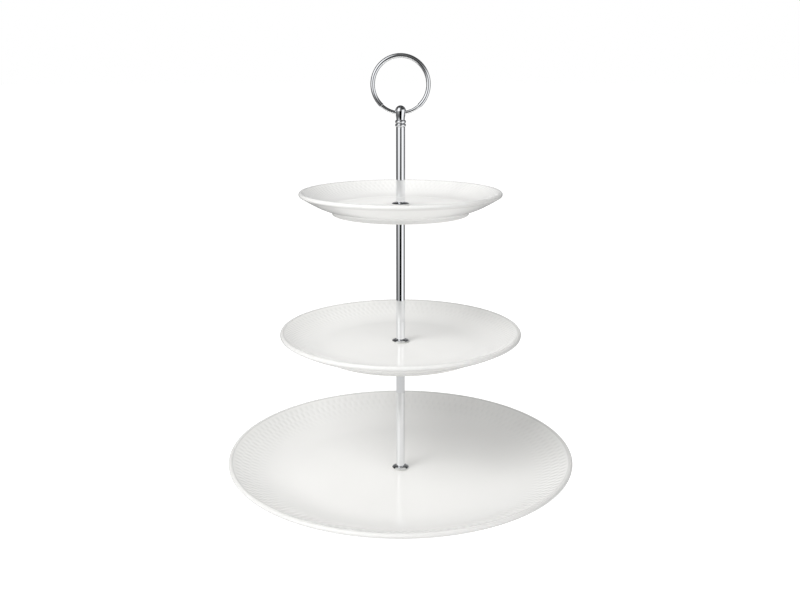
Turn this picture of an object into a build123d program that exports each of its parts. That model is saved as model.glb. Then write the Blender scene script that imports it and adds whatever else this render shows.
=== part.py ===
from build123d import *
import math
import os

os.makedirs("parts", exist_ok=True)

# Three-tier cake stand: three porcelain coupe plates clamped on a screwed rod,
# with a carrying ring on top.  Millimetres, +Z up.  The origin is on the rod's
# axis, in the plane of the bottom plate's foot.

# ---------------------------------------------------------------- dimensions
# plates: outer radius, flat well radius, foot ring, floor thickness, wall slope
bottom_r = 150.0
bottom_well_r = 88.0
bottom_foot_ro = 99.5
bottom_foot_ri = 95.5
bottom_foot_h = 5.5
bottom_floor_t = 5.1
bottom_depth = 17.9
bottom_slope = 31.0
bottom_edge_r = 2.0

middle_r = 102.2
middle_well_r = 60.0
middle_foot_ro = 71.5
middle_foot_ri = 68.3
middle_foot_h = 3.1
middle_floor_t = 3.6
middle_depth = 11.4
middle_slope = 30.0
middle_edge_r = 1.9

top_r = 83.5
top_well_r = 48.0
top_foot_ro = 56.4
top_foot_ri = 53.2
top_foot_h = 3.4
top_floor_t = 3.8
top_depth = 11.4
top_slope = 30.0
top_edge_r = 1.8

plate_hole_r = 4.0

# rod sections
rod_r = 3.7
rod_chamfer = 0.35
rod_length = 110.0
handle_rod_length = 61.1

# M5 studs and screw, drawn at their outer diameter
thread_r = 2.5
thread_bore_r = 2.56
tight_bore_r = 2.52
stud_free = 10.5        # engaged length below the clamped stack
stud_fixed = 10.0       # length held in the rod above
bore_depth = 12.5

# clamping washers
cover_r = 7.3
cover_h = 1.5
cover_top_r = 4.3
cover_edge = 0.45
gasket_r = 6.6
gasket_t = 0.8
under_r = 6.8
under_t = 1.0
washer_hole_r = 2.6

# screw under the base
head_r = 5.2
head_h = 2.2
base_washer_r = 9.0
base_washer_t = 0.8
base_rubber_r = 9.5
base_rubber_t = 1.0
screw_reach = 9.6

# finial, heights above the handle rod's end
bead_r = 4.45
groove_r = 3.1
neck_r = 3.35
head_max_r = 4.4
spigot_r = 2.0
spigot_bore_r = 2.05
spigot_l = 7.5
pin_z = 10.8
dome_z = 16.8
pin_bore_r = 1.47

# ring
ring_line_r = 22.3
ring_wire_r = 1.8
pin_wire_r = 1.4
ring_gap_deg = 42.0     # the thick grip ends this far each side of the bottom
pin_reach_deg = 53.0    # the thin wire runs this far into the grip's sockets
socket_r = 1.43

# ------------------------------------------------------------ derived heights
z_bottom_under = bottom_foot_h
z_bottom_floor = z_bottom_under + bottom_floor_t
z_bottom_lip = z_bottom_floor + bottom_depth
z_lower_cover = z_bottom_floor + gasket_t
z_lower_rod = z_lower_cover + cover_h

z_middle_seat = z_lower_rod + rod_length
z_middle_gasket = z_middle_seat + under_t
z_middle_under = z_middle_gasket + gasket_t
z_middle_floor = z_middle_under + middle_floor_t
z_middle_lip = z_middle_floor + middle_depth
z_middle_foot = z_middle_under - middle_foot_h
z_middle_cover = z_middle_floor + gasket_t
z_middle_rod = z_middle_cover + cover_h

z_top_seat = z_middle_rod + rod_length
z_top_gasket = z_top_seat + under_t
z_top_under = z_top_gasket + gasket_t
z_top_floor = z_top_under + top_floor_t
z_top_lip = z_top_floor + top_depth
z_top_foot = z_top_under - top_foot_h
z_top_cover = z_top_floor + gasket_t
z_handle_rod = z_top_cover + cover_h

z_finial = z_handle_rod + handle_rod_length
z_pin = z_finial + pin_z
z_ring = z_pin + ring_line_r


def wall(radius, lip_z, edge_r, slope, well_r, floor_z, foot_ro, under_z):
    """Control points of the curved wall of a coupe plate, inside and outside."""
    c, s = math.cos(math.radians(slope)), math.sin(math.radians(slope))
    cx, cz = radius - edge_r, lip_z - edge_r
    inner_end = (cx - edge_r * s, cz + edge_r * c)
    outer_end = (cx + edge_r * s, cz - edge_r * c)
    run_in = inner_end[0] - well_r
    run_out = outer_end[0] - (foot_ro + 1.6)
    inside = [
        inner_end,
        (inner_end[0] - 0.36 * run_in * c, inner_end[1] - 0.36 * run_in * s),
        (well_r + 0.42 * run_in, floor_z),
        (well_r, floor_z),
    ]
    outside = [
        (foot_ro + 1.6, under_z + 0.5),
        (foot_ro + 1.6 + 0.34 * run_out, under_z + 0.5 + 0.34 * run_out * 0.13),
        (outer_end[0] - 0.34 * run_out * c, outer_end[1] - 0.34 * run_out * s),
        outer_end,
    ]
    lip_mid = (cx + edge_r * c, cz + edge_r * s)
    return inside, outside, lip_mid


# --------------------------------------------------------------- bottom plate
b_in, b_out, b_lip = wall(
    bottom_r, z_bottom_lip, bottom_edge_r, bottom_slope, bottom_well_r,
    z_bottom_floor, bottom_foot_ro, z_bottom_under,
)
with BuildPart() as bottom_plate:
    with BuildSketch(Plane.XZ):
        with BuildLine():
            Line((plate_hole_r, z_bottom_floor), (plate_hole_r, z_bottom_under))
            Line((plate_hole_r, z_bottom_under), (bottom_foot_ri - 1.2, z_bottom_under))
            Line((bottom_foot_ri - 1.2, z_bottom_under), (bottom_foot_ri, 0.5))
            Line((bottom_foot_ri, 0.5), (bottom_foot_ri + 0.5, 0))
            Line((bottom_foot_ri + 0.5, 0), (bottom_foot_ro - 0.5, 0))
            Line((bottom_foot_ro - 0.5, 0), (bottom_foot_ro, 0.5))
            Line((bottom_foot_ro, 0.5), b_out[0])
            Bezier(*b_out)
            ThreePointArc(b_out[3], b_lip, b_in[0])
            Bezier(*b_in)
            Line(b_in[3], (plate_hole_r, z_bottom_floor))
        make_face()
    revolve(axis=Axis.Z)
bottom_plate.part.label = "bottom_plate"
export_step(bottom_plate.part, "parts/bottom_plate.step")

# --------------------------------------------------------------- middle plate
m_in, m_out, m_lip = wall(
    middle_r, z_middle_lip, middle_edge_r, middle_slope, middle_well_r,
    z_middle_floor, middle_foot_ro, z_middle_under,
)
with BuildPart() as middle_plate:
    with BuildSketch(Plane.XZ):
        with BuildLine():
            Line((plate_hole_r, z_middle_floor), (plate_hole_r, z_middle_under))
            Line((plate_hole_r, z_middle_under), (middle_foot_ri - 0.9, z_middle_under))
            Line((middle_foot_ri - 0.9, z_middle_under), (middle_foot_ri, z_middle_foot + 0.4))
            Line((middle_foot_ri, z_middle_foot + 0.4), (middle_foot_ri + 0.4, z_middle_foot))
            Line((middle_foot_ri + 0.4, z_middle_foot), (middle_foot_ro - 0.4, z_middle_foot))
            Line((middle_foot_ro - 0.4, z_middle_foot), (middle_foot_ro, z_middle_foot + 0.4))
            Line((middle_foot_ro, z_middle_foot + 0.4), m_out[0])
            Bezier(*m_out)
            ThreePointArc(m_out[3], m_lip, m_in[0])
            Bezier(*m_in)
            Line(m_in[3], (plate_hole_r, z_middle_floor))
        make_face()
    revolve(axis=Axis.Z)
middle_plate.part.label = "middle_plate"
export_step(middle_plate.part, "parts/middle_plate.step")

# ------------------------------------------------------------------ top plate
t_in, t_out, t_lip = wall(
    top_r, z_top_lip, top_edge_r, top_slope, top_well_r,
    z_top_floor, top_foot_ro, z_top_under,
)
with BuildPart() as top_plate:
    with BuildSketch(Plane.XZ):
        with BuildLine():
            Line((plate_hole_r, z_top_floor), (plate_hole_r, z_top_under))
            Line((plate_hole_r, z_top_under), (top_foot_ri - 0.9, z_top_under))
            Line((top_foot_ri - 0.9, z_top_under), (top_foot_ri, z_top_foot + 0.4))
            Line((top_foot_ri, z_top_foot + 0.4), (top_foot_ri + 0.4, z_top_foot))
            Line((top_foot_ri + 0.4, z_top_foot), (top_foot_ro - 0.4, z_top_foot))
            Line((top_foot_ro - 0.4, z_top_foot), (top_foot_ro, z_top_foot + 0.4))
            Line((top_foot_ro, z_top_foot + 0.4), t_out[0])
            Bezier(*t_out)
            ThreePointArc(t_out[3], t_lip, t_in[0])
            Bezier(*t_in)
            Line(t_in[3], (plate_hole_r, z_top_floor))
        make_face()
    revolve(axis=Axis.Z)
top_plate.part.label = "top_plate"
export_step(top_plate.part, "parts/top_plate.step")

# ---------------------------------------------------------------------- rods
# lower rod: tapped at both ends
with BuildPart() as lower_rod:
    with BuildSketch(Plane.XY.offset(z_lower_rod)):
        Circle(rod_r)
    extrude(amount=rod_length)
    chamfer(lower_rod.faces().filter_by(Axis.Z).edges(), rod_chamfer)
    with BuildSketch(Plane.XY.offset(z_lower_rod)):
        Circle(tight_bore_r)
    extrude(amount=bore_depth, mode=Mode.SUBTRACT)
    with BuildSketch(Plane.XY.offset(z_middle_seat)):
        Circle(thread_bore_r)
    extrude(amount=-bore_depth, mode=Mode.SUBTRACT)
lower_rod.part.label = "lower_rod"
export_step(lower_rod.part, "parts/lower_rod.step")

# middle rod: holds its stud below, tapped above
with BuildPart() as middle_rod:
    with BuildSketch(Plane.XY.offset(z_middle_rod)):
        Circle(rod_r)
    extrude(amount=rod_length)
    chamfer(middle_rod.faces().filter_by(Axis.Z).edges(), rod_chamfer)
    with BuildSketch(Plane.XY.offset(z_middle_rod)):
        Circle(tight_bore_r)
    extrude(amount=stud_fixed + 1, mode=Mode.SUBTRACT)
    with BuildSketch(Plane.XY.offset(z_top_seat)):
        Circle(thread_bore_r)
    extrude(amount=-bore_depth, mode=Mode.SUBTRACT)
middle_rod.part.label = "middle_rod"
export_step(middle_rod.part, "parts/middle_rod.step")

# handle rod: holds its stud below and the finial's spigot above
with BuildPart() as handle_rod:
    with BuildSketch(Plane.XY.offset(z_handle_rod)):
        Circle(rod_r)
    extrude(amount=handle_rod_length)
    chamfer(handle_rod.faces().filter_by(Axis.Z).edges(), rod_chamfer)
    with BuildSketch(Plane.XY.offset(z_handle_rod)):
        Circle(tight_bore_r)
    extrude(amount=stud_fixed + 1, mode=Mode.SUBTRACT)
    with BuildSketch(Plane.XY.offset(z_finial)):
        Circle(spigot_bore_r)
    extrude(amount=-(spigot_l + 1), mode=Mode.SUBTRACT)
handle_rod.part.label = "handle_rod"
export_step(handle_rod.part, "parts/handle_rod.step")

# --------------------------------------------------------------------- studs
with BuildPart() as middle_stud:
    with BuildSketch(Plane.XY.offset(z_middle_seat - stud_free)):
        Circle(thread_r)
    extrude(amount=stud_free + (z_middle_rod - z_middle_seat) + stud_fixed)
    chamfer(middle_stud.faces().filter_by(Axis.Z).edges(), 0.5)
middle_stud.part.label = "middle_stud"
export_step(middle_stud.part, "parts/middle_stud.step")

with BuildPart() as top_stud:
    with BuildSketch(Plane.XY.offset(z_top_seat - stud_free)):
        Circle(thread_r)
    extrude(amount=stud_free + (z_handle_rod - z_top_seat) + stud_fixed)
    chamfer(top_stud.faces().filter_by(Axis.Z).edges(), 0.5)
top_stud.part.label = "top_stud"
export_step(top_stud.part, "parts/top_stud.step")

# ------------------------------------------------------------ cover washers
with BuildPart() as lower_domed_washer:
    with BuildSketch(Plane.XZ):
        with BuildLine():
            Polyline(
                (washer_hole_r, z_lower_cover + cover_h),
                (washer_hole_r, z_lower_cover),
                (cover_r - 0.15, z_lower_cover),
                (cover_r, z_lower_cover + 0.15),
                (cover_r, z_lower_cover + cover_edge),
            )
            ThreePointArc(
                (cover_r, z_lower_cover + cover_edge),
                (5.95, z_lower_cover + 1.13),
                (cover_top_r, z_lower_cover + cover_h),
            )
            Line((cover_top_r, z_lower_cover + cover_h), (washer_hole_r, z_lower_cover + cover_h))
        make_face()
    revolve(axis=Axis.Z)
lower_domed_washer.part.label = "lower_domed_washer"
export_step(lower_domed_washer.part, "parts/lower_domed_washer.step")

with BuildPart() as middle_domed_washer:
    with BuildSketch(Plane.XZ):
        with BuildLine():
            Polyline(
                (washer_hole_r, z_middle_cover + cover_h),
                (washer_hole_r, z_middle_cover),
                (cover_r - 0.15, z_middle_cover),
                (cover_r, z_middle_cover + 0.15),
                (cover_r, z_middle_cover + cover_edge),
            )
            ThreePointArc(
                (cover_r, z_middle_cover + cover_edge),
                (5.95, z_middle_cover + 1.13),
                (cover_top_r, z_middle_cover + cover_h),
            )
            Line((cover_top_r, z_middle_cover + cover_h), (washer_hole_r, z_middle_cover + cover_h))
        make_face()
    revolve(axis=Axis.Z)
middle_domed_washer.part.label = "middle_domed_washer"
export_step(middle_domed_washer.part, "parts/middle_domed_washer.step")

with BuildPart() as top_domed_washer:
    with BuildSketch(Plane.XZ):
        with BuildLine():
            Polyline(
                (washer_hole_r, z_top_cover + cover_h),
                (washer_hole_r, z_top_cover),
                (cover_r - 0.15, z_top_cover),
                (cover_r, z_top_cover + 0.15),
                (cover_r, z_top_cover + cover_edge),
            )
            ThreePointArc(
                (cover_r, z_top_cover + cover_edge),
                (5.95, z_top_cover + 1.13),
                (cover_top_r, z_top_cover + cover_h),
            )
            Line((cover_top_r, z_top_cover + cover_h), (washer_hole_r, z_top_cover + cover_h))
        make_face()
    revolve(axis=Axis.Z)
top_domed_washer.part.label = "top_domed_washer"
export_step(top_domed_washer.part, "parts/top_domed_washer.step")

# -------------------------------------------------------------- soft gaskets
with BuildPart() as lower_gasket:
    with BuildSketch(Plane.XY.offset(z_bottom_floor)):
        Circle(gasket_r)
        Circle(washer_hole_r, mode=Mode.SUBTRACT)
    extrude(amount=gasket_t)
lower_gasket.part.label = "lower_gasket"
export_step(lower_gasket.part, "parts/lower_gasket.step")

with BuildPart() as middle_upper_gasket:
    with BuildSketch(Plane.XY.offset(z_middle_floor)):
        Circle(gasket_r)
        Circle(washer_hole_r, mode=Mode.SUBTRACT)
    extrude(amount=gasket_t)
middle_upper_gasket.part.label = "middle_upper_gasket"
export_step(middle_upper_gasket.part, "parts/middle_upper_gasket.step")

with BuildPart() as top_upper_gasket:
    with BuildSketch(Plane.XY.offset(z_top_floor)):
        Circle(gasket_r)
        Circle(washer_hole_r, mode=Mode.SUBTRACT)
    extrude(amount=gasket_t)
top_upper_gasket.part.label = "top_upper_gasket"
export_step(top_upper_gasket.part, "parts/top_upper_gasket.step")

with BuildPart() as middle_lower_gasket:
    with BuildSketch(Plane.XY.offset(z_middle_gasket)):
        Circle(gasket_r)
        Circle(washer_hole_r, mode=Mode.SUBTRACT)
    extrude(amount=gasket_t)
middle_lower_gasket.part.label = "middle_lower_gasket"
export_step(middle_lower_gasket.part, "parts/middle_lower_gasket.step")

with BuildPart() as top_lower_gasket:
    with BuildSketch(Plane.XY.offset(z_top_gasket)):
        Circle(gasket_r)
        Circle(washer_hole_r, mode=Mode.SUBTRACT)
    extrude(amount=gasket_t)
top_lower_gasket.part.label = "top_lower_gasket"
export_step(top_lower_gasket.part, "parts/top_lower_gasket.step")

# -------------------------------------------- steel washers under the plates
with BuildPart() as middle_under_washer:
    with BuildSketch(Plane.XY.offset(z_middle_seat)):
        Circle(under_r)
        Circle(washer_hole_r, mode=Mode.SUBTRACT)
    extrude(amount=under_t)
    chamfer(middle_under_washer.edges().filter_by(GeomType.CIRCLE).group_by(SortBy.RADIUS)[-1], 0.2)
middle_under_washer.part.label = "middle_under_washer"
export_step(middle_under_washer.part, "parts/middle_under_washer.step")

with BuildPart() as top_under_washer:
    with BuildSketch(Plane.XY.offset(z_top_seat)):
        Circle(under_r)
        Circle(washer_hole_r, mode=Mode.SUBTRACT)
    extrude(amount=under_t)
    chamfer(top_under_washer.edges().filter_by(GeomType.CIRCLE).group_by(SortBy.RADIUS)[-1], 0.2)
top_under_washer.part.label = "top_under_washer"
export_step(top_under_washer.part, "parts/top_under_washer.step")

# -------------------------------------------------------- screw under the base
z_rubber = z_bottom_under - base_rubber_t
z_washer = z_rubber - base_washer_t
z_head = z_washer - head_h
with BuildPart() as base_rubber_washer:
    with BuildSketch(Plane.XY.offset(z_rubber)):
        Circle(base_rubber_r)
        Circle(washer_hole_r, mode=Mode.SUBTRACT)
    extrude(amount=base_rubber_t)
    chamfer(base_rubber_washer.edges().filter_by(GeomType.CIRCLE).group_by(SortBy.RADIUS)[-1], 0.2)
base_rubber_washer.part.label = "base_rubber_washer"
export_step(base_rubber_washer.part, "parts/base_rubber_washer.step")

with BuildPart() as base_steel_washer:
    with BuildSketch(Plane.XY.offset(z_washer)):
        Circle(base_washer_r)
        Circle(washer_hole_r, mode=Mode.SUBTRACT)
    extrude(amount=base_washer_t)
    chamfer(base_steel_washer.edges().filter_by(GeomType.CIRCLE).group_by(SortBy.RADIUS)[-1], 0.15)
base_steel_washer.part.label = "base_steel_washer"
export_step(base_steel_washer.part, "parts/base_steel_washer.step")

with BuildPart() as base_screw:
    with BuildSketch(Plane.XY.offset(z_head)):
        Circle(head_r)
    extrude(amount=head_h)
    fillet(base_screw.faces().sort_by(Axis.Z)[0].edges(), 1.1)
    with BuildSketch(Plane.XY.offset(z_washer)):
        Circle(thread_r)
    extrude(amount=z_lower_rod + screw_reach - z_washer)
    chamfer(base_screw.faces().sort_by(Axis.Z)[-1].edges(), 0.5)
    with BuildSketch(Plane.XY.offset(z_head)):
        Rectangle(5.0, 1.0)
        Rectangle(1.0, 5.0)
    extrude(amount=1.3, mode=Mode.SUBTRACT)
base_screw.part.label = "base_screw"
export_step(base_screw.part, "parts/base_screw.step")

# -------------------------------------------------------------------- finial
# two beads with a groove between them, a neck that swells into a domed head,
# and a spigot that screws into the handle rod
with BuildPart() as finial:
    with BuildSketch(Plane.XZ):
        with BuildLine():
            Line((0, z_finial - spigot_l), (spigot_r - 0.4, z_finial - spigot_l))
            Line((spigot_r - 0.4, z_finial - spigot_l), (spigot_r, z_finial - spigot_l + 0.4))
            Line((spigot_r, z_finial - spigot_l + 0.4), (spigot_r, z_finial))
            Line((spigot_r, z_finial), (rod_r - 0.3, z_finial))
            ThreePointArc(
                (rod_r - 0.3, z_finial),
                (bead_r, z_finial + 1.05),
                (groove_r, z_finial + 2.55),
            )
            ThreePointArc(
                (groove_r, z_finial + 2.55),
                (bead_r, z_finial + 4.1),
                (neck_r, z_finial + 5.35),
            )
            Spline(
                (neck_r, z_finial + 5.35),
                (3.5, z_finial + 7.2),
                (4.05, z_finial + 9.8),
                (head_max_r, z_finial + 12.4),
                tangents=[(0.02, 1), (0, 1)],
            )
            ThreePointArc(
                (head_max_r, z_finial + 12.4),
                (head_max_r * math.sin(math.radians(45)), z_finial + 12.4 + (dome_z - 12.4) * math.cos(math.radians(45))),
                (0, z_finial + dome_z),
            )
            Line((0, z_finial + dome_z), (0, z_finial - spigot_l))
        make_face()
    revolve(axis=Axis.Z)
    # cross hole, flared to both mouths for the bent wire
    with BuildSketch(Plane.XZ):
        with BuildLine():
            Line((-6, z_pin), (6, z_pin))
            Line((6, z_pin), (6, z_pin + 2.4))
            Line((6, z_pin + 2.4), (3.6, z_pin + 1.79))
            ThreePointArc((3.6, z_pin + 1.79), (2.35, z_pin + 1.575), (1.1, z_pin + pin_bore_r))
            Line((1.1, z_pin + pin_bore_r), (-1.1, z_pin + pin_bore_r))
            ThreePointArc((-1.1, z_pin + pin_bore_r), (-2.35, z_pin + 1.575), (-3.6, z_pin + 1.79))
            Line((-3.6, z_pin + 1.79), (-6, z_pin + 2.4))
            Line((-6, z_pin + 2.4), (-6, z_pin))
        make_face()
    revolve(axis=Axis((0, 0, z_pin), (1, 0, 0)), mode=Mode.SUBTRACT)
finial.part.label = "finial"
export_step(finial.part, "parts/finial.step")

# ---------------------------------------------------------------------- ring
# The ring stands in the XZ plane about its own centre.  Angles run from +X
# towards +Z, so its lowest point, inside the finial, is at -90 degrees.
ring_axis = Axis((0, 0, z_ring), (0, -1, 0))


def ring_plane(angle):
    """Plane across the ring's wire at an angle, x outwards and y along +Y."""
    a = math.radians(angle)
    return Plane(
        origin=(0, 0, z_ring),
        x_dir=(math.cos(a), 0, math.sin(a)),
        z_dir=(-math.sin(a), 0, math.cos(a)),
    )


# thick grip: open towards the bottom, with a socket in each end
grip_start = -90 + ring_gap_deg
grip_end = 270 - ring_gap_deg
socket_arc = pin_reach_deg - ring_gap_deg + 1.0
with BuildPart() as ring_handle:
    with BuildSketch(ring_plane(grip_start)):
        with Locations((ring_line_r, 0)):
            Circle(ring_wire_r)
    revolve(axis=ring_axis, revolution_arc=grip_end - grip_start)
    fillet(ring_handle.edges().filter_by(GeomType.CIRCLE).filter_by(lambda e: abs(e.radius - ring_wire_r) < 0.01 and e.length < 15), 0.3)
    with BuildSketch(ring_plane(grip_start)):
        with Locations((ring_line_r, 0)):
            Circle(socket_r)
    revolve(axis=ring_axis, revolution_arc=socket_arc, mode=Mode.SUBTRACT)
    with BuildSketch(ring_plane(grip_end - socket_arc)):
        with Locations((ring_line_r, 0)):
            Circle(socket_r)
    revolve(axis=ring_axis, revolution_arc=socket_arc, mode=Mode.SUBTRACT)
ring_handle.part.label = "ring_handle"
export_step(ring_handle.part, "parts/ring_handle.step")

# thin bent wire through the finial, its ends held in the grip's sockets
with BuildPart() as ring_pin:
    with BuildSketch(ring_plane(-90 - pin_reach_deg)):
        with Locations((ring_line_r, 0)):
            Circle(pin_wire_r)
    revolve(axis=ring_axis, revolution_arc=2 * pin_reach_deg)
ring_pin.part.label = "ring_pin"
export_step(ring_pin.part, "parts/ring_pin.step")

print("heights mm: bottom lip", round(z_bottom_lip, 2), "middle lip", round(z_middle_lip, 2),
      "top lip", round(z_top_lip, 2), "pin", round(z_pin, 2), "ring top", round(z_ring + ring_line_r + ring_wire_r, 2))
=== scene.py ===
import math

import bpy
import mathutils
import numpy as np
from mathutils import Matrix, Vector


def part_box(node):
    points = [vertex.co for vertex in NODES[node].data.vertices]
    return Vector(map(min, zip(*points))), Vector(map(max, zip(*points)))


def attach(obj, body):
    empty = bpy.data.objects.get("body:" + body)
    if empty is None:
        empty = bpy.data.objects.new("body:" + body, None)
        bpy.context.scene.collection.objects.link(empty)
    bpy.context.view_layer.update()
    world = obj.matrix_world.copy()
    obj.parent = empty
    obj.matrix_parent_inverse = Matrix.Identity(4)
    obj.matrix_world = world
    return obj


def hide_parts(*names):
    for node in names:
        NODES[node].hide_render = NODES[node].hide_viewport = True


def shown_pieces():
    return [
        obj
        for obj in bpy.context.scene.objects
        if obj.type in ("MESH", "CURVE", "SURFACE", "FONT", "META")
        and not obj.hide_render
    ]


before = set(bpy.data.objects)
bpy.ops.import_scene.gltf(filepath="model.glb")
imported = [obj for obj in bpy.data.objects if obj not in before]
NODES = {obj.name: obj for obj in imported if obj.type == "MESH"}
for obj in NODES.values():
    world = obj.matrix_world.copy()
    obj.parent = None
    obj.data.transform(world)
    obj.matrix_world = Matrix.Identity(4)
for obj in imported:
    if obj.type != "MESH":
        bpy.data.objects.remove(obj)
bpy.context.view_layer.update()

MM = 0.001

# ------------------------------------------------------------------ dimensions
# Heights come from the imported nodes; radii repeat the part's own drawing.
def node_z(node):
    lo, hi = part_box(node)
    return lo[2] / MM, hi[2] / MM


PLATES = {
    # name: radius, well radius, foot outer, foot inner, foot height, floor thickness, depth, slope, lip radius,
    #       relief from, relief to, cells round, rows, relief depth, body
    "bottom_plate": (150.0, 88.0, 99.5, 95.5, 5.5, 5.1, 17.9, 31.0, 2.0, 116.6, 146.2, 140, 4, 0.27, "base"),
    "middle_plate": (102.2, 60.0, 71.5, 68.3, 3.1, 3.6, 11.4, 30.0, 1.9, 75.4, 98.8, 120, 4, 0.19, "middle_tier"),
    "top_plate": (83.5, 48.0, 56.4, 53.2, 3.4, 3.8, 11.4, 30.0, 1.8, 60.8, 80.4, 108, 4, 0.14, "top_tier"),
}
HOLE_R = 4.0
ROD_R = 3.7


# ------------------------------------------------------------------ mesh tools
def make_object(name, verts, faces, body, replaces, material, smooth=True, sharp_deg=None):
    mesh = bpy.data.meshes.new(name)
    mesh.from_pydata([tuple(v) for v in verts], [], faces)
    mesh.update()
    if smooth:
        mesh.polygons.foreach_set("use_smooth", [True] * len(mesh.polygons))
    ob = bpy.data.objects.new(name, mesh)
    bpy.context.scene.collection.objects.link(ob)
    if sharp_deg is not None:
        mesh.set_sharp_from_angle(angle=math.radians(sharp_deg))
    mesh.materials.append(material)
    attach(ob, body)
    if replaces:
        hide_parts(replaces)
    return ob


def bezier(p, n):
    """n + 1 points of a cubic Bezier curve."""
    t = np.linspace(0, 1, n + 1)[:, None]
    p = [np.array(q, float) for q in p]
    return (1 - t) ** 3 * p[0] + 3 * (1 - t) ** 2 * t * p[1] + 3 * (1 - t) * t**2 * p[2] + t**3 * p[3]


def arc(cx, cz, r, a0, a1, n):
    """n + 1 points of a circular arc, angles in degrees."""
    a = np.radians(np.linspace(a0, a1, n + 1))
    return np.stack([cx + r * np.cos(a), cz + r * np.sin(a)], 1)


def three_point(p0, p1, p2, n):
    p0, p1, p2 = (np.array(p, float) for p in (p0, p1, p2))
    m = 2 * np.array([p1 - p0, p2 - p0])
    c = np.linalg.solve(m, np.array([p1 @ p1 - p0 @ p0, p2 @ p2 - p0 @ p0]))
    r = np.linalg.norm(p0 - c)
    a = [math.atan2(*(p - c)[::-1]) for p in (p0, p1, p2)]
    if not (a[0] <= a[1] <= a[2] or a[0] >= a[1] >= a[2]):
        a = [x % (2 * math.pi) for x in a]
    return arc(c[0], c[1], r, math.degrees(a[0]), math.degrees(a[2]), n)


def join(*runs):
    """One polyline from several, without the doubled points."""
    out = []
    for run in runs:
        for q in run:
            q = (float(q[0]), float(q[1]))
            if not out or math.hypot(q[0] - out[-1][0], q[1] - out[-1][1]) > 1e-5:
                out.append(q)
    return out


def rounded(points, radii, n=4):
    """A polyline with its inner corners rounded; radii gives one radius per inner point."""
    out = [points[0]]
    for i in range(1, len(points) - 1):
        p, a, b = (np.array(points[k], float) for k in (i, i - 1, i + 1))
        r = radii[i - 1]
        u, v = a - p, b - p
        lu, lv = np.linalg.norm(u), np.linalg.norm(v)
        u, v = u / lu, v / lv
        ang = math.acos(max(-1, min(1, float(u @ v))))
        if r <= 0 or abs(ang - math.pi) < 1e-3:
            out.append(tuple(p))
            continue
        d = min(r / math.tan(ang / 2), 0.49 * lu, 0.49 * lv)
        p0, p1 = p + u * d, p + v * d
        for t in np.linspace(0, 1, n + 1):
            q = (1 - t) ** 2 * p0 + 2 * (1 - t) * t * p + t**2 * p1
            out.append((float(q[0]), float(q[1])))
    out.append(points[-1])
    return join(out)


def lathe(profile, seg, closed=False):
    """Vertices and faces of a profile of (r, z) in mm turned about Z. Points on the axis become one vertex.
    The profile runs so that the solid lies on its left when r points right and z up."""
    verts, rings, faces = [], [], []
    ang = np.linspace(0, 2 * math.pi, seg, endpoint=False)
    for r, z in profile:
        if r < 1e-6:
            rings.append([len(verts)])
            verts.append((0, 0, z * MM))
        else:
            rings.append(list(range(len(verts), len(verts) + seg)))
            verts.extend(np.stack([r * MM * np.cos(ang), r * MM * np.sin(ang), np.full(seg, z * MM)], 1).tolist())
    pairs = list(zip(rings[:-1], rings[1:]))
    if closed:
        pairs.append((rings[-1], rings[0]))
    for a, b in pairs:
        if len(a) == 1 and len(b) == 1:
            continue
        for i in range(seg):
            j = (i + 1) % seg
            if len(a) == 1:
                faces.append((a[0], b[j], b[i]))
            elif len(b) == 1:
                faces.append((a[i], a[j], b[0]))
            else:
                faces.append((a[i], a[j], b[j], b[i]))
    return verts, faces


def sweep_arc(profile, centre_z, line_r, seg):
    """A turned form bent round the ring: profile is (angle in degrees, radius in mm) along the wire, angles from +X to +Z about the ring's centre."""
    verts, rings, faces = [], [], []
    ang = np.linspace(0, 2 * math.pi, seg, endpoint=False)
    for a, r in profile:
        ca, sa = math.cos(math.radians(a)), math.sin(math.radians(a))
        if r < 1e-6:
            rings.append([len(verts)])
            verts.append((line_r * ca * MM, 0, (centre_z + line_r * sa) * MM))
            continue
        rings.append(list(range(len(verts), len(verts) + seg)))
        rad = line_r + r * np.cos(ang)
        y = r * np.sin(ang)
        verts.extend(np.stack([rad * ca * MM, y * MM, (centre_z + rad * sa) * MM], 1).tolist())
    for a, b in zip(rings[:-1], rings[1:]):
        for i in range(seg):
            j = (i + 1) % seg
            if len(a) == 1:
                faces.append((a[0], b[j], b[i]))
            elif len(b) == 1:
                faces.append((a[i], a[j], b[0]))
            else:
                faces.append((a[i], a[j], b[j], b[i]))
    return verts, faces


# ------------------------------------------------------------------- materials
def new_material(name):
    mat = bpy.data.materials.new(name)
    mat.use_nodes = True
    nt = mat.node_tree
    return mat, nt, nt.nodes["Principled BSDF"], nt.nodes.new, nt.links.new


def ramp(nt, source, stops):
    node = nt.nodes.new("ShaderNodeValToRGB")
    el = node.color_ramp.elements
    while len(el) < len(stops):
        el.new(0.5)
    for e, (p, c) in zip(el, stops):
        e.position = p
        e.color = (c, c, c, 1) if isinstance(c, (int, float)) else (*c, 1)
    nt.links.new(source, node.inputs["Fac"])
    return node.outputs["Color"]


def remap(nt, source, lo, hi, a=0.0, b=1.0):
    node = nt.nodes.new("ShaderNodeMapRange")
    node.inputs["From Min"].default_value = a
    node.inputs["From Max"].default_value = b
    node.inputs["To Min"].default_value = lo
    node.inputs["To Max"].default_value = hi
    nt.links.new(source, node.inputs["Value"])
    return node.outputs["Result"]


def noise(nt, coords, scale, detail=2.0, rough=0.5):
    node = nt.nodes.new("ShaderNodeTexNoise")
    node.inputs["Scale"].default_value = scale
    node.inputs["Detail"].default_value = detail
    node.inputs["Roughness"].default_value = rough
    nt.links.new(coords, node.inputs["Vector"])
    return node.outputs["Fac"]


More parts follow.
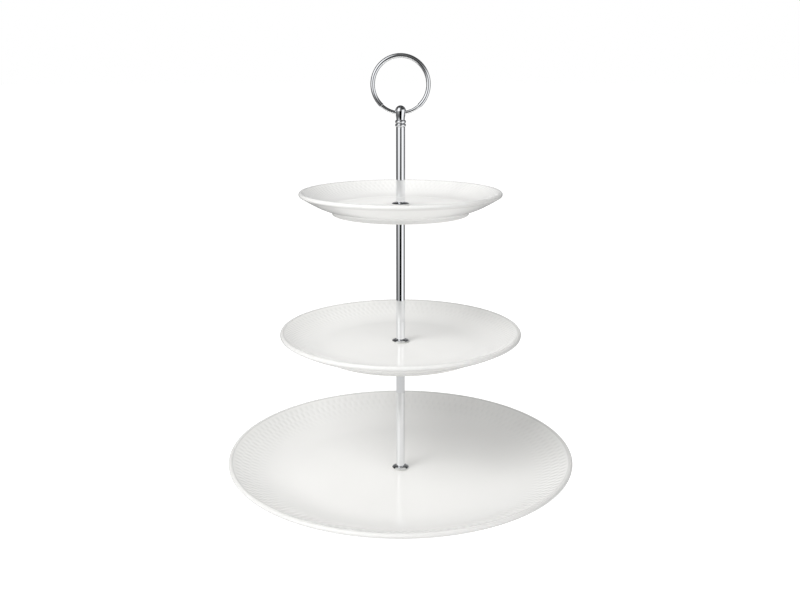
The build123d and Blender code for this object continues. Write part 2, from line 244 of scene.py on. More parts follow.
def coords_of(nt, scale=(1, 1, 1)):
    tc = nt.nodes.new("ShaderNodeTexCoord")
    mp = nt.nodes.new("ShaderNodeMapping")
    mp.inputs["Scale"].default_value = scale
    nt.links.new(tc.outputs["Object"], mp.inputs["Vector"])
    return mp.outputs["Vector"]


def mix_colour(nt, fac, a, b):
    node = nt.nodes.new("ShaderNodeMix")
    node.data_type = "RGBA"
    for key, value in ((0, fac), (6, a), (7, b)):
        if isinstance(value, tuple):
            node.inputs[key].default_value = (*value, 1)
        elif isinstance(value, (int, float)):
            node.inputs[key].default_value = value
        else:
            nt.links.new(value, node.inputs[key])
    return node.outputs[2]


def mix_value(nt, fac, a, b):
    node = nt.nodes.new("ShaderNodeMix")
    node.data_type = "FLOAT"
    for key, value in ((0, fac), (2, a), (3, b)):
        if isinstance(value, (int, float)):
            node.inputs[key].default_value = value
        else:
            nt.links.new(value, node.inputs[key])
    return node.outputs[0]


def bump(nt, height, strength, distance, normal=None):
    node = nt.nodes.new("ShaderNodeBump")
    node.inputs["Strength"].default_value = strength
    node.inputs["Distance"].default_value = distance
    nt.links.new(height, node.inputs["Height"])
    if normal is not None:
        nt.links.new(normal, node.inputs["Normal"])
    return node.outputs["Normal"]


def attribute(nt, name):
    node = nt.nodes.new("ShaderNodeAttribute")
    node.attribute_type = "GEOMETRY"
    node.attribute_name = name
    return node.outputs["Fac"]


def porcelain_material():
    mat, nt, bsdf, _, link = new_material("white_porcelain")
    c = coords_of(nt)
    cloud = noise(nt, c, 14.0, 3.0)
    fine = noise(nt, c, 260.0, 2.0)
    groove_shade = attribute(nt, "painted_groove_shade")       # 1 in the relief's grooves; painted shade: the grooves are coloured darker
    bare = attribute(nt, "unglazed")         # 1 on the ground foot ring
    lip_shade = attribute(nt, "painted_lip_shade")       # 1 on the lip; painted shade: the lip is coloured darker to hold down the light it catches
    body = mix_colour(nt, cloud, (0.790, 0.787, 0.773), (0.820, 0.817, 0.802))
    # painted shade: the relief's grooves are coloured darker than the body, in place of the shade that falls in them
    groove_shaded = mix_colour(nt, remap(nt, groove_shade, 0.0, 0.55), body, (0.735, 0.736, 0.722))
    bisque = mix_colour(nt, fine, (0.68, 0.655, 0.61), (0.76, 0.74, 0.70))
    # painted shade: the lip is coloured darker than the body, so that it looks less brightly lit
    lip_shaded = mix_colour(nt, lip_shade, groove_shaded, mix_colour(nt, fine, (0.675, 0.672, 0.660), (0.705, 0.702, 0.689)))
    link(mix_colour(nt, bare, lip_shaded, bisque), bsdf.inputs["Base Color"])
    gloss = mix_value(nt, cloud, 0.085, 0.15)
    gloss = mix_value(nt, groove_shade, gloss, 0.19)
    link(mix_value(nt, bare, gloss, 0.72), bsdf.inputs["Roughness"])
    grain = noise(nt, c, 1800.0, 3.0)
    n1 = bump(nt, noise(nt, c, 55.0, 1.0), 0.12, 0.0004)
    n2 = bump(nt, fine, 0.06, 0.0001, n1)
    n3 = nt.nodes.new("ShaderNodeBump")
    n3.inputs["Distance"].default_value = 0.0001
    link(grain, n3.inputs["Height"])
    link(remap(nt, bare, 0.0, 0.5), n3.inputs["Strength"])
    link(n2, n3.inputs["Normal"])
    link(n3.outputs["Normal"], bsdf.inputs["Normal"])
    bsdf.inputs["IOR"].default_value = 1.52
    return mat


def chrome_material(name="polished_chrome", lines=(600, 600, 9000)):
    """Mirror plating with faint turning lines, hazy patches and a few hairlines."""
    mat, nt, bsdf, _, link = new_material(name)
    c = coords_of(nt)
    haze = noise(nt, c, 45.0, 3.0)
    smear = ramp(nt, noise(nt, c, 120.0, 4.0, 0.6), [(0.42, 0.0), (0.72, 1.0)])
    link(mix_colour(nt, haze, (0.80, 0.81, 0.825), (0.855, 0.86, 0.87)), bsdf.inputs["Base Color"])
    turned = noise(nt, coords_of(nt, lines), 1.0, 2.0)
    rough = mix_value(nt, haze, 0.012, 0.03)
    rough = mix_value(nt, smear, rough, 0.06)
    link(rough, bsdf.inputs["Roughness"])
    link(bump(nt, turned, 0.05, 0.00001), bsdf.inputs["Normal"])
    bsdf.inputs["Metallic"].default_value = 1.0
    return mat


def steel_material():
    mat, nt, bsdf, _, link = new_material("zinc_plated_steel")
    c = coords_of(nt)
    patch = noise(nt, c, 90.0, 4.0)
    link(mix_colour(nt, patch, (0.50, 0.505, 0.50), (0.64, 0.64, 0.62)), bsdf.inputs["Base Color"])
    link(mix_value(nt, patch, 0.22, 0.42), bsdf.inputs["Roughness"])
    link(bump(nt, noise(nt, coords_of(nt, (900, 900, 5000)), 1.0, 2.0), 0.15, 0.00005), bsdf.inputs["Normal"])
    bsdf.inputs["Metallic"].default_value = 1.0
    return mat


def gasket_material():
    mat, nt, bsdf, _, link = new_material("soft_milky_plastic")
    c = coords_of(nt)
    patch = noise(nt, c, 140.0, 3.0)
    link(mix_colour(nt, patch, (0.70, 0.70, 0.66), (0.80, 0.80, 0.77)), bsdf.inputs["Base Color"])
    link(mix_value(nt, patch, 0.38, 0.55), bsdf.inputs["Roughness"])
    link(bump(nt, noise(nt, c, 900.0, 2.0), 0.2, 0.00005), bsdf.inputs["Normal"])
    return mat


def rubber_material():
    mat, nt, bsdf, _, link = new_material("black_rubber")
    c = coords_of(nt)
    patch = noise(nt, c, 160.0, 4.0)
    link(mix_colour(nt, patch, (0.018, 0.018, 0.018), (0.045, 0.045, 0.044)), bsdf.inputs["Base Color"])
    link(mix_value(nt, patch, 0.55, 0.8), bsdf.inputs["Roughness"])
    link(bump(nt, noise(nt, c, 1400.0, 2.0), 0.35, 0.00006), bsdf.inputs["Normal"])
    return mat


PORCELAIN = porcelain_material()
CHROME = chrome_material()
STEEL = steel_material()
GASKET = gasket_material()
RUBBER = rubber_material()


# ---------------------------------------------------------------------- plates
def wall_curves(radius, lip_z, edge_r, slope, well_r, floor_z, foot_ro, under_z):
    """The inner and outer curve of a plate's wall, as in the part's own drawing."""
    c, s = math.cos(math.radians(slope)), math.sin(math.radians(slope))
    cx, cz = radius - edge_r, lip_z - edge_r
    inner_end = (cx - edge_r * s, cz + edge_r * c)
    outer_end = (cx + edge_r * s, cz - edge_r * c)
    run_in = inner_end[0] - well_r
    run_out = outer_end[0] - (foot_ro + 1.6)
    inside = [
        inner_end,
        (inner_end[0] - 0.36 * run_in * c, inner_end[1] - 0.36 * run_in * s),
        (well_r + 0.42 * run_in, floor_z),
        (well_r, floor_z),
    ]
    outside = [
        (foot_ro + 1.6, under_z + 0.5),
        (foot_ro + 1.6 + 0.34 * run_out, under_z + 0.5 + 0.34 * run_out * 0.13),
        (outer_end[0] - 0.34 * run_out * c, outer_end[1] - 0.34 * run_out * s),
        outer_end,
    ]
    return inside, outside, (cx, cz)


def build_plate(name):
    radius, well_r, foot_ro, foot_ri, foot_h, floor_t, depth, slope, edge_r, rel0, rel1, cells, rows, rel_d, body = PLATES[name]
    foot_z, lip_z = node_z(name)
    under_z = foot_z + foot_h
    floor_z = under_z + floor_t
    inside, outside, (cx, cz) = wall_curves(radius, lip_z, edge_r, slope, well_r, floor_z, foot_ro, under_z)
    per_cell, ratio = 8, 4
    fine = cells * per_cell
    coarse = fine // ratio

    # underside, foot ring, outer wall and lip
    hole_low = rounded([(HOLE_R, floor_z - 1.2), (HOLE_R, under_z), (foot_ri - 1.2, under_z)], [0.5], 4)
    flat_under = [(r, under_z) for r in np.linspace(HOLE_R + 1.5, foot_ri - 6, 7)]
    foot = rounded(
        [
            (foot_ri - 6, under_z),
            (foot_ri - 1.2, under_z),
            (foot_ri, foot_z + 0.02),
            (foot_ro, foot_z),
            (foot_ro + 0.25, under_z - 0.6),
            outside[0],
            tuple(bezier(outside, 30)[3]),
        ],
        [1.4, 0.55, 0.6, 0.5, 1.6],
        5,
    )
    outer_wall = bezier(outside, 30)[3:]
    lip = arc(cx, cz, edge_r, slope - 90, slope + 90, 16)
    inner = bezier(inside, 400)
    s_r = inner[:, 0]
    # arc length along the inner wall, so that the rows are even
    seg_len = np.hypot(*np.diff(inner, axis=0).T)
    s = np.concatenate([[0], np.cumsum(seg_len)])
    s_out, s_in = np.interp(-rel1, -s_r, s), np.interp(-rel0, -s_r, s)

    def at(sv):
        return np.stack([np.interp(sv, s, inner[:, 0]), np.interp(sv, s, inner[:, 1])], 1)

    brim = at(np.linspace(0, s_out, 4))
    band_s = np.linspace(s_out, s_in, rows * 12 + 1)
    band = at(band_s)
    shoulder = at(np.linspace(s_in, s[-1], 14))
    well = [(r, floor_z) for r in np.linspace(well_r, HOLE_R + 3.0, 12)]
    hole_top = rounded([(HOLE_R + 3.0, floor_z), (HOLE_R, floor_z), (HOLE_R, floor_z - 1.2)], [0.5], 4)

    coarse_a = join(hole_low[:-1], flat_under, foot, outer_wall, lip, brim[:-1])
    coarse_b = join(shoulder[1:], well, hole_top)

    verts, faces, groove_shade, bare, lip_shade = [], [], [], [], []

    def ring(points_r, z, n, groove_shade_value=0.0, bare_value=0.0, lip_shade_value=0.0):
        start = len(verts)
        ang = np.linspace(0, 2 * math.pi, n, endpoint=False)
        pr = np.broadcast_to(points_r, (n,))
        pz = np.broadcast_to(z, (n,))
        verts.extend(np.stack([pr * MM * np.cos(ang), pr * MM * np.sin(ang), pz * MM], 1).tolist())
        groove_shade.extend(np.broadcast_to(groove_shade_value, (n,)).tolist())
        bare.extend(np.broadcast_to(bare_value, (n,)).tolist())
        lip_shade.extend([lip_shade_value] * n)
        return list(range(start, start + n))

    def quads(a, b):
        n = len(a)
        for i in range(n):
            j = (i + 1) % n
            faces.append((a[i], a[j], b[j], b[i]))

    def on_foot(r, z):
        return 1.0 if (z < foot_z + 0.35 and foot_ri - 0.3 < r < foot_ro + 0.4) else 0.0

    # lip mask for the painted lip shade
    def on_lip(r, z):
        return max(0.0, min(1.0, (edge_r * 1.7 - math.hypot(r - cx, z - cz)) / (edge_r * 0.7)))

    rings_a = [ring(r, z, coarse, 0.0, on_foot(r, z), on_lip(r, z)) for r, z in coarse_a]
    for a, b in zip(rings_a[:-1], rings_a[1:]):
        quads(a, b)

    # relief: rows of short radial ridges, each row shifted by half a ridge against the next
    n_rows = len(band_s)
    tang = np.gradient(band, axis=0)
    tang /= np.linalg.norm(tang, axis=1)[:, None]
    normal = np.stack([tang[:, 1], -tang[:, 0]], 1)          # into the bowl
    normal *= np.sign(normal[:, 1])[:, None]
    u = np.arange(fine) / per_cell
    rings_f = []
    for k in range(n_rows):
        v = k / 12.0                                         # rows from the rim inwards
        t = k / (n_rows - 1)
        edge_fade = min(1.0, 2.2 * v)
        fade = edge_fade * (1.0 - max(0.0, (t - 0.35) / 0.65) ** 1.2)
        swing = math.copysign(abs(math.sin(math.pi * v)) ** 0.55, math.sin(math.pi * v))
        wave = swing * np.cos(2 * math.pi * u)
        rounded_wave = wave + 0.22 * (wave**2 - 0.5)         # ridges broad, grooves narrow
        rise = -0.5 * rel_d * fade * rounded_wave
        # groove mask: carries the painted shade in the grooves and their rougher gloss
        groove = np.clip((rounded_wave - 0.35) * 1.2, 0, 1) * fade
        rings_f.append(ring(band[k, 0] + normal[k, 0] * rise, band[k, 1] + normal[k, 1] * rise, fine, groove, 0.0))
    for a, b in zip(rings_f[:-1], rings_f[1:]):
        quads(a, b)

    rings_b = [ring(r, z, coarse) for r, z in coarse_b]
    for a, b in zip(rings_b[:-1], rings_b[1:]):
        quads(a, b)
    quads(rings_b[-1], rings_a[0]) if coarse_b[-1] != coarse_a[0] else None

    def stitch(few, many, flip):
        n = len(few)
        for i in range(n):
            j = (i + 1) % n
            run = [many[(i * ratio + m) % len(many)] for m in range(ratio + 1)]
            face = [few[j], few[i]] + run
            faces.append(tuple(face if flip else reversed(face)))

    stitch(rings_a[-1], rings_f[0], False)
    stitch(rings_b[0], rings_f[-1], True)

    ob = make_object(name + "_glazed", verts, faces, body, name, PORCELAIN)
    # the groove and lip masks carry painted shade into the porcelain's colour
    for label, data in (("painted_groove_shade", groove_shade), ("unglazed", bare), ("painted_lip_shade", lip_shade)):
        layer = ob.data.attributes.new(label, "FLOAT", "POINT")
        layer.data.foreach_set("value", np.array(data, np.float32))
    return ob


for plate in PLATES:
    build_plate(plate)


# ------------------------------------------------------------------------ rods
def build_rod(node, body, low_bore, low_depth, top_bore, top_depth):
    z0, z1 = node_z(node)
    ch = 0.35
    profile = join(
        [(0, z0 + low_depth), (low_bore, z0 + low_depth)],
        [(low_bore, z0 + 0.3), (low_bore + 0.3, z0)],
        rounded([(low_bore + 0.3, z0), (ROD_R - ch, z0), (ROD_R, z0 + ch), (ROD_R, z0 + 2)], [0.12, 0.3], 3),
        [(ROD_R, z) for z in np.linspace(z0 + 2, z1 - 2, 12)],
        rounded([(ROD_R, z1 - 2), (ROD_R, z1 - ch), (ROD_R - ch, z1), (top_bore + 0.3, z1)], [0.3, 0.12], 3),
        [(top_bore + 0.3, z1), (top_bore, z1 - 0.3), (top_bore, z1 - top_depth), (0, z1 - top_depth)],
    )
    verts, faces = lathe(profile, 96)
    return make_object(node + "_polished", verts, faces, body, node, CHROME, sharp_deg=50)


build_rod("lower_rod", "lower_post", 2.52, 12.5, 2.56, 12.5)
build_rod("middle_rod", "middle_post", 2.52, 11.0, 2.56, 12.5)
build_rod("handle_rod", "handle", 2.52, 11.0, 2.05, 8.5)


# --------------------------------------------------------------- domed washers
def build_cover(node, body):
    z0, z1 = node_z(node)
    dome = [(x, z0 + z) for x, z in three_point((7.3, 0.45), (5.95, 1.13), (4.3, 1.5), 14)]
    profile = join(
        rounded([(2.6, z0 + 0.7), (2.6, z0), (7.15, z0), (7.3, z0 + 0.15), (7.3, z0 + 0.45)], [0.1, 0.08, 0.12], 3)[:-1],
        rounded([(7.3, z0 + 0.3), (7.3, z0 + 0.45), dome[2]], [0.2], 4),
        dome[2:-1],
        rounded([dome[-2], (4.3, z1), (2.6, z1), (2.6, z0 + 0.7)], [0.25, 0.15], 3),
    )
    verts, faces = lathe(profile, 128)
    return make_object(node + "_polished", verts, faces, body, node, CHROME, sharp_deg=60)


build_cover("lower_domed_washer", "lower_cover")
build_cover("middle_domed_washer", "middle_cover")
build_cover("top_domed_washer", "top_cover")


# -------------------------------------------------------- gaskets, flat washers
def build_disc(node, body, outer, inner, edge, material):
    z0, z1 = node_z(node)
    mid = (z0 + z1) / 2
    profile = rounded(
        [(inner, mid), (inner, z0), (outer, z0), (outer, z1), (inner, z1), (inner, mid)],
        [edge * 0.6, edge, edge, edge * 0.6],
        5,
    )
    verts, faces = lathe(profile, 96)
    return make_object(node + "_detailed", verts, faces, body, node, material, sharp_deg=60)


build_disc("lower_gasket", "base", 6.6, 2.6, 0.25, GASKET)
build_disc("middle_upper_gasket", "middle_tier", 6.6, 2.6, 0.25, GASKET)
build_disc("top_upper_gasket", "top_tier", 6.6, 2.6, 0.25, GASKET)
build_disc("middle_lower_gasket", "lower_post", 6.6, 2.6, 0.25, GASKET)
build_disc("top_lower_gasket", "middle_post", 6.6, 2.6, 0.25, GASKET)
build_disc("middle_under_washer", "lower_post", 6.8, 2.6, 0.2, STEEL)
build_disc("top_under_washer", "middle_post", 6.8, 2.6, 0.2, STEEL)
build_disc("base_steel_washer", "base", 9.0, 2.6, 0.15, STEEL)
build_disc("base_rubber_washer", "base", 9.5, 2.6, 0.2, RUBBER)


# --------------------------------------------------------------- studs, screw
def thread_surface(z0, z1, major=2.5, minor=2.05, pitch=0.8, seg=48, step=0.1, fade0=True, fade1=True):
    """Rings of a screw thread between two heights, fading into its chamfered ends."""
    n = int(round((z1 - z0) / step))
    zs = np.linspace(z0, z1, n + 1)
    ang = np.linspace(0, 2 * math.pi, seg, endpoint=False)
    out = []
    for z in zs:
        phase = (z / pitch - ang / (2 * math.pi)) % 1.0
        tri = np.clip(1.18 * (1 - np.abs(2 * phase - 1)) - 0.05, 0, 1)
        r = minor + (major - minor) * tri
        if fade0:
            r = np.minimum(r, minor - 0.02 + max(0.0, z - z0) * 0.9)
        if fade1:
            r = np.minimum(r, minor - 0.02 + max(0.0, z1 - z) * 0.9)
        out.append((z, r))
    return out, ang


def build_stud(node, body):
    z0, z1 = node_z(node)
    rings_data, ang = thread_surface(z0, z1)
    seg = len(ang)
    verts, faces, rings = [(0, 0, z0 * MM)], [], []
    for z, r in rings_data:
        rings.append(list(range(len(verts), len(verts) + seg)))
        verts.extend(np.stack([r * MM * np.cos(ang), r * MM * np.sin(ang), np.full(seg, z * MM)], 1).tolist())
    top = len(verts)
    verts.append((0, 0, z1 * MM))
    for i in range(seg):
        j = (i + 1) % seg
        faces.append((0, rings[0][j], rings[0][i]))
        faces.append((rings[-1][i], rings[-1][j], top))
    for a, b in zip(rings[:-1], rings[1:]):
        for i in range(seg):
            j = (i + 1) % seg
            faces.append((a[i], a[j], b[j], b[i]))
    return make_object(node + "_threaded", verts, faces, body, node, STEEL, sharp_deg=70)


build_stud("middle_stud", "middle_post")
build_stud("top_stud", "handle")


def build_screw():
    z0, z1 = node_z("base_screw")
    head_top = z0 + 2.2
    head = rounded(
        [(0, z0), (3.9, z0), (5.2, z0 + 1.1), (5.2, head_top), (2.35, head_top)], [1.3, 0.5, 0.15], 5
    )
    ang = np.linspace(0, 2 * math.pi, 48, endpoint=False)
    seg = 48
    rings_data, _ = thread_surface(head_top, z1, fade0=False)
    verts, faces, rings = [(0, 0, z0 * MM)], [], []
    for r, z in head[1:]:
        rings.append(list(range(len(verts), len(verts) + seg)))
        verts.extend(np.stack([r * MM * np.cos(ang), r * MM * np.sin(ang), np.full(seg, z * MM)], 1).tolist())
    for z, r in rings_data[1:]:
        rings.append(list(range(len(verts), len(verts) + seg)))
        verts.extend(np.stack([r * MM * np.cos(ang), r * MM * np.sin(ang), np.full(seg, z * MM)], 1).tolist())
    top = len(verts)
    verts.append((0, 0, z1 * MM))
    for i in range(seg):
        j = (i + 1) % seg
        faces.append((0, rings[0][j], rings[0][i]))
        faces.append((rings[-1][i], rings[-1][j], top))
    for a, b in zip(rings[:-1], rings[1:]):
        for i in range(seg):
            j = (i + 1) % seg
            faces.append((a[i], a[j], b[j], b[i]))
    ob = make_object("base_screw_threaded", verts, faces, "base", "base_screw", STEEL, sharp_deg=55)
    # cross recess in the head
    w, l, d = 0.5, 2.5, 1.3
    cv, cf = [], []
    outline = [(w, w), (l, w * 0.6), (l, -w * 0.6), (w, -w), (w * 0.6, -l), (-w * 0.6, -l), (-w, -w), (-l, -w * 0.6), (-l, w * 0.6), (-w, w), (-w * 0.6, l), (w * 0.6, l)]
    n = len(outline)
    for k, (scale, z) in enumerate(((1.0, z0 - 0.5), (0.72, z0 + d))):
        for x, y in outline:
            cv.append((x * scale * MM, y * scale * MM, z * MM))
    cf.append(tuple(range(n)))
    cf.append(tuple(reversed(range(n, 2 * n))))
    for i in range(n):
        j = (i + 1) % n
        cf.append((i, i + n, j + n, j))
    cutter = bpy.data.meshes.new("recess")
    cutter.from_pydata(cv, [], cf)
    cutter.update()
    tool = bpy.data.objects.new("recess", cutter)
    bpy.context.scene.collection.objects.link(tool)
    cut(ob, tool)
    return ob


def cut(ob, tool):
    """Takes tool out of ob, then removes it."""
    mod = ob.modifiers.new("cut", "BOOLEAN")
    mod.operation = "DIFFERENCE"
    mod.solver = "EXACT"
    mod.object = tool
    bpy.context.view_layer.update()
    dg = bpy.context.evaluated_depsgraph_get()
    made = bpy.data.meshes.new_from_object(ob.evaluated_get(dg), depsgraph=dg)
    ob.modifiers.clear()
    old = ob.data
    ob.data = made
    bpy.data.objects.remove(tool)
    bpy.data.meshes.remove(old)


build_screw()


# ---------------------------------------------------------------------- finial
def build_finial():
    z_low, z_top = node_z("finial")
    zf = z_top - 16.8
    knots = np.array([(3.35, 5.35), (3.5, 7.2), (4.05, 9.8), (4.4, 12.4)])
    # neck: a smooth monotone curve through the drawn points
    t = np.linspace(0, 1, 25)
    zs = 5.35 + (12.4 - 5.35) * t
    neck_r = np.interp(zs, knots[:, 1], knots[:, 0])
    for _ in range(12):
        neck_r[1:-1] = (neck_r[:-2] + 2 * neck_r[1:-1] + neck_r[2:]) / 4
    neck = [(r, zf + z) for r, z in zip(neck_r, zs)]
    bead1 = [(x, zf + z) for x, z in three_point((3.4, 0.0), (4.45, 1.05), (3.1, 2.55), 18)]
    bead2 = [(x, zf + z) for x, z in three_point((3.1, 2.55), (4.45, 4.1), (3.35, 5.35), 18)]
    a = np.radians(np.linspace(0, 90, 22))
    dome = [(4.4 * math.cos(x), zf + 12.4 + 4.4 * math.sin(x)) for x in a]
    dome[-1] = (0.0, zf + 16.8)
    profile = join(
        [(0, z_low), (1.6, z_low), (2.0, z_low + 0.4), (2.0, zf)],
        [(2.0, zf), (3.3, zf)],
        bead1,
        bead2,
        neck,
        dome,
    )
    verts, faces = lathe(profile, 128)
    ob = make_object("finial_polished", verts, faces, "handle", "finial", CHROME)
    # flared cross hole
    zp = zf + 10.8
    half = [(1.1, 1.47)] + list(three_point((1.1, 1.47), (2.35, 1.575), (3.6, 1.79), 8))[1:] + [(6.0, 2.4)]
    flare = [(-x, r) for x, r in reversed(half)] + half
    seg = 64
    cv, cf = [(-6.0, 0, zp)], []
    ang = np.linspace(0, 2 * math.pi, seg, endpoint=False)
    rings = []
    for x, r in flare:
        rings.append(list(range(len(cv), len(cv) + seg)))
        cv.extend([(float(x), float(r * math.cos(q)), float(zp + r * math.sin(q))) for q in ang])
    cv.append((6.0, 0, zp))
    last = len(cv) - 1
    for i in range(seg):
        j = (i + 1) % seg
        cf.append((0, rings[0][j], rings[0][i]))
        cf.append((rings[-1][i], rings[-1][j], last))
    for p, q in zip(rings[:-1], rings[1:]):
        for i in range(seg):
            j = (i + 1) % seg
            cf.append((p[i], p[j], q[j], q[i]))
    mesh = bpy.data.meshes.new("cross_hole")
    mesh.from_pydata([(x * MM, y * MM, z * MM) for x, y, z in cv], [], cf)
    mesh.update()
    tool = bpy.data.objects.new("cross_hole", mesh)
    bpy.context.scene.collection.objects.link(tool)
    cut(ob, tool)
    ob.data.polygons.foreach_set("use_smooth", [True] * len(ob.data.polygons))
    ob.data.set_sharp_from_angle(angle=math.radians(38))
    return ob


build_finial()


# ------------------------------------------------------------------------ ring
RING_R, WIRE_R, PIN_R, SOCKET_R = 22.3, 1.8, 1.4, 1.43
RING_Z = node_z("ring_handle")[1] - RING_R - WIRE_R


def build_ring():
    a0, a1 = -48.0, 228.0
    deg = math.degrees(1.0 / RING_R)                # degrees per millimetre along the wire
    end = [(0.0, SOCKET_R), (0.0, WIRE_R - 0.3)]
    turn = [(0.3 * (1 - math.cos(q)), WIRE_R - 0.3 + 0.3 * math.sin(q)) for q in np.radians(np.linspace(15, 90, 5))]
    first = [(12.0 / deg, 0.0), (12.0 / deg, SOCKET_R)] + end + turn
    profile = [(a0 + d * deg, r) for d, r in first]
    profile += [(a, WIRE_R) for a in np.linspace(a0 + 0.3 * deg, a1 - 0.3 * deg, 160)[1:-1]]
    profile += [(a1 - d * deg, r) for d, r in reversed(first)]
    verts, faces = sweep_arc(profile, RING_Z, RING_R, 48)
    make_object("ring_handle_polished", verts, faces, "ring", "ring_handle", CHROME, sharp_deg=50)

    b0, b1 = -90 - 53.0, -90 + 53.0
    ends = [(0.0, 0.0), (0.0, PIN_R - 0.2), (0.2, PIN_R)]
    profile = [(b0 + d * deg, r) for d, r in ends]
    profile += [(a, PIN_R) for a in np.linspace(b0 + 0.2 * deg, b1 - 0.2 * deg, 70)[1:-1]]
    profile += [(b1 - d * deg, r) for d, r in reversed(ends)]
    verts, faces = sweep_arc(profile, RING_Z, RING_R, 40)
    make_object("ring_pin_polished", verts, faces, "ring", "ring_pin", CHROME, sharp_deg=50)


build_ring()


# ----------------------------------------------------------- face orientation
def outward(ob):
    import bmesh
    bm = bmesh.new()
    bm.from_mesh(ob.data)
    bmesh.ops.recalc_face_normals(bm, faces=bm.faces)
    if bm.calc_volume(signed=True) < 0:
        bmesh.ops.reverse_faces(bm, faces=bm.faces)
    bm.to_mesh(ob.data)
    bm.free()


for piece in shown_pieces():
    if piece.name not in NODES:
        outward(piece)


# ------------------------------------------------------------- floor and light
def build_stage():
    """A wide pale floor that glows a little, so that it stays pale right to its far edge."""
    seg, radii = 96, [0.0, 0.3, 0.8, 2.0, 6.0, 30.0]
    verts, faces = lathe([(r * 1000, 0) for r in radii], seg)
    mesh = bpy.data.meshes.new("floor")
    mesh.from_pydata(verts, [], faces)
    mesh.update()
    ob = bpy.data.objects.new("floor", mesh)
    bpy.context.scene.collection.objects.link(ob)
    mat, nt, bsdf, _, link = new_material("pale_floor")
    c = coords_of(nt)
    link(mix_colour(nt, noise(nt, c, 3.0, 3.0), (0.200, 0.200, 0.199), (0.215, 0.215, 0.213)), bsdf.inputs["Base Color"])
    bsdf.inputs["Roughness"].default_value = 0.75
    bsdf.inputs["Specular IOR Level"].default_value = 0.2
    bsdf.inputs["Emission Color"].default_value = (1.0, 1.0, 1.0, 1.0)
    seen = nt.nodes.new("ShaderNodeLightPath")
    link(remap(nt, seen.outputs["Is Camera Ray"], FLOOR_GLOW, FLOOR_GLOW_SEEN), bsdf.inputs["Emission Strength"])
    mesh.materials.append(mat)
    ob.location.z = -0.00005
    ob.visible_glossy = False

    # the white board the stand sits on, as mirrors see it
    verts, faces = lathe([(r, 0) for r in (0.0, 120.0, 240.0, 330.0)], seg)
    mesh = bpy.data.meshes.new("board")
    mesh.from_pydata(verts, [], faces)
    mesh.update()
    board = bpy.data.objects.new("board", mesh)
    bpy.context.scene.collection.objects.link(board)
    mat, nt, bsdf, _, link = new_material("white_board")
    c = coords_of(nt)
    link(mix_colour(nt, noise(nt, c, 6.0, 2.0), (0.200, 0.200, 0.199), (0.215, 0.215, 0.213)), bsdf.inputs["Base Color"])
    bsdf.inputs["Roughness"].default_value = 0.8
    bsdf.inputs["Specular IOR Level"].default_value = 0.2
    bsdf.inputs["Emission Color"].default_value = (1.0, 1.0, 1.0, 1.0)
    bsdf.inputs["Emission Strength"].default_value = 0.42
    mesh.materials.append(mat)
    board.location.z = -0.00003
    board.visible_camera = False
    board.visible_diffuse = False
    board.visible_shadow = False


def area_light(name, azimuth, elevation, distance, size, power, colour=(1, 1, 1)):
    """A round soft light aimed at the object; azimuth 0 is in front, negative to the left."""
    az, el = math.radians(azimuth), math.radians(elevation)
    toward = mathutils.Vector((math.sin(az) * math.cos(el), -math.cos(az) * math.cos(el), math.sin(el)))
    data = bpy.data.lights.new(name, "AREA")
    data.shape = "DISK"
    data.size = size
    data.energy = power
    data.color = colour
    ob = bpy.data.objects.new(name, data)
    ob.location = mathutils.Vector((0, 0, 0.15)) + toward * distance
    ob.rotation_euler = (-toward).to_track_quat("-Z", "Y").to_euler()
    ob.visible_camera = False
    ob.visible_glossy = False
    bpy.context.scene.collection.objects.link(ob)
    return ob


FLOOR_GLOW = 0.86
FLOOR_GLOW_SEEN = 0.945
AMBIENT = 0.488
LIGHTS = [
    # name, azimuth, elevation, distance, size, power
    ("key_front_left", -30, 42, 1.9, 0.9, 14.1),
    ("key_core", -45, 35, 1.9, 0.45, 5.5),
    ("side_left", -60, 42, 1.9, 0.9, 8.5),
    ("side_left_core", -60, 35, 1.9, 0.45, 2.7),
    ("fill_right", 30, 42, 1.9, 0.9, 5.4),
    ("back", 180, 40, 1.9, 0.9, 6.5),
]


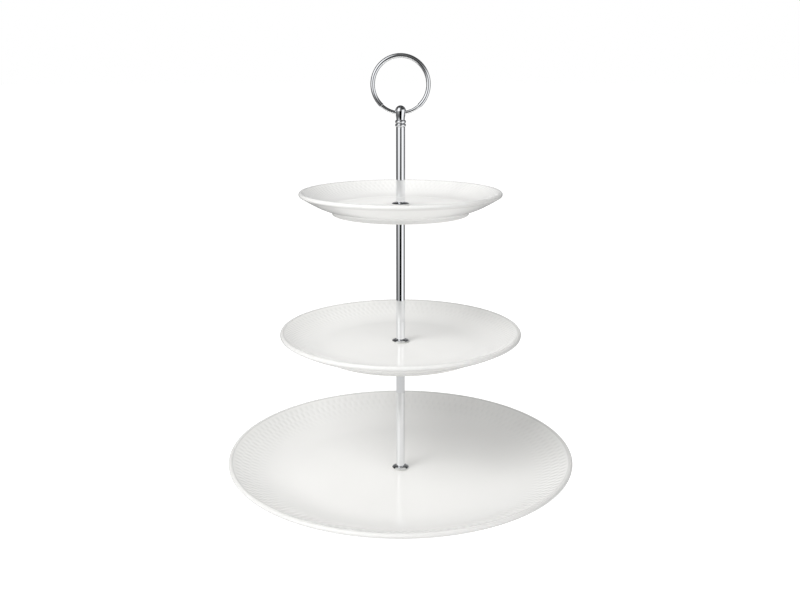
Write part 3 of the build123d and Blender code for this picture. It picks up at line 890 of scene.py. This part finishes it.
def build_world():
    """Even soft light all round, and for mirrors a studio: two tall soft panels in front, left and right, the rest dim."""
    world = bpy.data.worlds.new("studio")
    bpy.context.scene.world = world
    world.use_nodes = True
    nt = world.node_tree
    nt.nodes.clear()

    def math_node(op, a, b=None):
        node = nt.nodes.new("ShaderNodeMath")
        node.operation = op
        for i, v in enumerate((a, b)):
            if v is None:
                continue
            if isinstance(v, (int, float)):
                node.inputs[i].default_value = v
            else:
                nt.links.new(v, node.inputs[i])
        return node.outputs[0]

    def step(value, a, b):
        """0 below a, 1 above b, smooth between (or the other way round if a is above b)."""
        node = nt.nodes.new("ShaderNodeMapRange")
        node.interpolation_type = "SMOOTHSTEP"
        lo, hi = min(a, b), max(a, b)
        node.inputs["From Min"].default_value = lo
        node.inputs["From Max"].default_value = hi
        node.inputs["To Min"].default_value = 0.0 if a < b else 1.0
        node.inputs["To Max"].default_value = 1.0 if a < b else 0.0
        nt.links.new(value, node.inputs["Value"])
        return node.outputs["Result"]

    def window(value, a, b, soft):
        return math_node("MULTIPLY", step(value, a - soft, a + soft), step(value, b + soft, b - soft))

    out = nt.nodes.new("ShaderNodeOutputWorld")
    tc = nt.nodes.new("ShaderNodeTexCoord")
    sep = nt.nodes.new("ShaderNodeSeparateXYZ")
    nt.links.new(tc.outputs["Generated"], sep.inputs[0])
    back = math_node("MULTIPLY", sep.outputs["Y"], -1.0)
    az = math_node("MULTIPLY", math_node("ARCTAN2", sep.outputs["X"], back), 180 / math.pi)
    el = math_node("MULTIPLY", math_node("ARCSINE", sep.outputs["Z"]), 180 / math.pi)

    def both(*values):
        total = values[0]
        for v in values[1:]:
            total = math_node("MULTIPLY", total, v)
        return total

    def plus(*values):
        total = values[0]
        for v in values[1:]:
            total = math_node("ADD", total, v)
        return total

    left = both(step(az, -76.0, -62.0), step(az, -10.0, -18.0), step(el, -24.0, 0.0), step(el, 72.0, 56.0), 0.98)
    core = both(window(az, -62.0, -40.0, 5.0), window(el, 12.0, 46.0, 6.0), 0.6)
    right = both(step(az, 20.0, 34.0), step(az, 98.0, 74.0), step(el, -66.0, -54.0), step(el, 28.0, 16.0), 0.98)
    front = both(step(az, -16.0, -9.0), step(az, 28.0, 14.0))
    level = plus(0.145, both(step(el, 2.0, -10.0), -0.145), both(step(el, -26.0, -40.0), 0.22))
    around = plus(0.155, both(step(az, 96.0, 130.0), step(el, 34.0, 18.0), 0.07), both(step(el, -20.0, -50.0), 0.10), both(step(el, 24.0, 42.0), -0.10))
    backdrop = both(step(math_node("ABSOLUTE", az), 138.0, 160.0), step(el, 0.0, 4.0), step(el, 14.5, 10.5), 0.22)
    total = plus(left, core, right, backdrop, both(front, level), both(math_node("SUBTRACT", 1.0, front), around))
    gap = both(step(az, -30.0, -20.0), step(az, 30.0, 20.0), step(el, -5.0, -11.0), step(el, -34.0, -24.0))
    total = both(total, math_node("SUBTRACT", 1.0, gap))
    rgb = nt.nodes.new("ShaderNodeCombineColor")
    for i, k in enumerate((0.985, 0.995, 1.01)):
        nt.links.new(math_node("MULTIPLY", total, k), rgb.inputs[i])
    glossy = nt.nodes.new("ShaderNodeBackground")
    nt.links.new(rgb.outputs[0], glossy.inputs["Color"])
    soft = nt.nodes.new("ShaderNodeBackground")
    soft.inputs["Color"].default_value = (1.0, 1.0, 1.0, 1)
    soft.inputs["Strength"].default_value = AMBIENT
    soft.name = "soft"
    plain = nt.nodes.new("ShaderNodeBackground")
    plain.inputs["Color"].default_value = (1.0, 1.0, 1.0, 1)
    plain.inputs["Strength"].default_value = 1.0
    glossy.name = "glossy"
    lp = nt.nodes.new("ShaderNodeLightPath")
    m1 = nt.nodes.new("ShaderNodeMixShader")
    nt.links.new(lp.outputs["Is Glossy Ray"], m1.inputs[0])
    nt.links.new(soft.outputs[0], m1.inputs[1]); nt.links.new(glossy.outputs[0], m1.inputs[2])
    m2 = nt.nodes.new("ShaderNodeMixShader")
    nt.links.new(lp.outputs["Is Camera Ray"], m2.inputs[0])
    nt.links.new(m1.outputs[0], m2.inputs[1]); nt.links.new(plain.outputs[0], m2.inputs[2])
    nt.links.new(m2.outputs[0], out.inputs["Surface"])


build_stage()
for light in LIGHTS:
    area_light(*light)
build_world()

# ---------------------------------------------------------------------- camera
lip_z = node_z("bottom_plate")[1] * MM
cam_data = bpy.data.cameras.new("camera")
cam_data.sensor_width = 36.0
cam_data.lens = 39.57
cam = bpy.data.objects.new("camera", cam_data)
cam.location = (-0.00045, -0.72266, lip_z + 0.32283)
cam.rotation_euler = (math.radians(90 - 14.461), 0, 0)
bpy.context.scene.collection.objects.link(cam)
bpy.context.scene.camera = cam
bpy.context.scene.view_settings.view_transform = "Standard"
bpy.context.scene.view_settings.look = "None"
